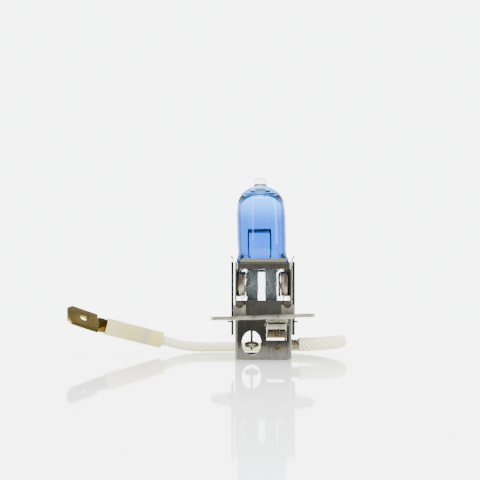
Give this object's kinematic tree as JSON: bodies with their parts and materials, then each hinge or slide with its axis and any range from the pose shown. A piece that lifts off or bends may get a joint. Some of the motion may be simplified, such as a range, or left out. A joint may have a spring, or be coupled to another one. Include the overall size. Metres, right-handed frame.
{
  "type": "halogen headlight bulb",
  "caption": "Halogen headlight bulb: blue glass capsule with a pinch seal in a pressed metal holder, round locating flange, braided flying lead and sleeved blade terminal.",
  "frame": {"origin": "on the bulb's axis at the height of the holder's feet, on which the bulb stands; the flange's upper face, the reference plane, is 9.0 mm above it", "axes": "+Z along the bulb axis towards the glass tip, -Y towards the side with the ground tab, +X towards the side where the lead leaves"},
  "size_m": [0.0639, 0.0358, 0.0388],
  "materials": {
    "capsule_glass": "blue coated quartz glass, clear at the pinch seal and the tip",
    "tungsten_wire": "drawn tungsten, dark grey",
    "molybdenum_foil": "rolled foil seen through glass",
    "holder_steel": "brushed nickel plated sheet steel",
    "flange_nickel": "bright nickel plated sheet steel",
    "spring_steel": "heat tinted spring steel",
    "glass_fibre_braid": "woven glass fibre",
    "copper_conductor": "stranded copper",
    "terminal_brass": "stamped brass",
    "sleeve_silicone": "cream translucent silicone tube"
  },
  "bodies": {
    "bulb": {"glass_capsule": "capsule_glass", "filament_coil": "tungsten_wire", "filament_post_live": "tungsten_wire", "filament_post_ground": "tungsten_wire", "seal_foil_live": "molybdenum_foil", "seal_foil_ground": "molybdenum_foil", "live_pin": "tungsten_wire", "ground_pin": "tungsten_wire", "holder_front_shell": "holder_steel", "holder_rear_shell": "holder_steel", "mounting_flange": "flange_nickel", "ground_tab": "flange_nickel", "side_strap_right": "holder_steel", "pinch_clip_right": "spring_steel", "side_strap_left": "holder_steel", "pinch_clip_left": "spring_steel", "live_splice": "flange_nickel", "inner_conductor": "copper_conductor", "inner_insulation": "glass_fibre_braid", "lead_ferrule": "flange_nickel", "flying_lead": "glass_fibre_braid", "blade_terminal": "terminal_brass"},
    "sleeve": {"terminal_sleeve": "sleeve_silicone"}
  },
  "joints": [
    {"name": "sleeve_slide", "type": "slide", "parent": "bulb", "child": "sleeve", "axis": [0.9008, 0.3548, -0.2504], "range_m": [0, 0.004]}
  ]
}
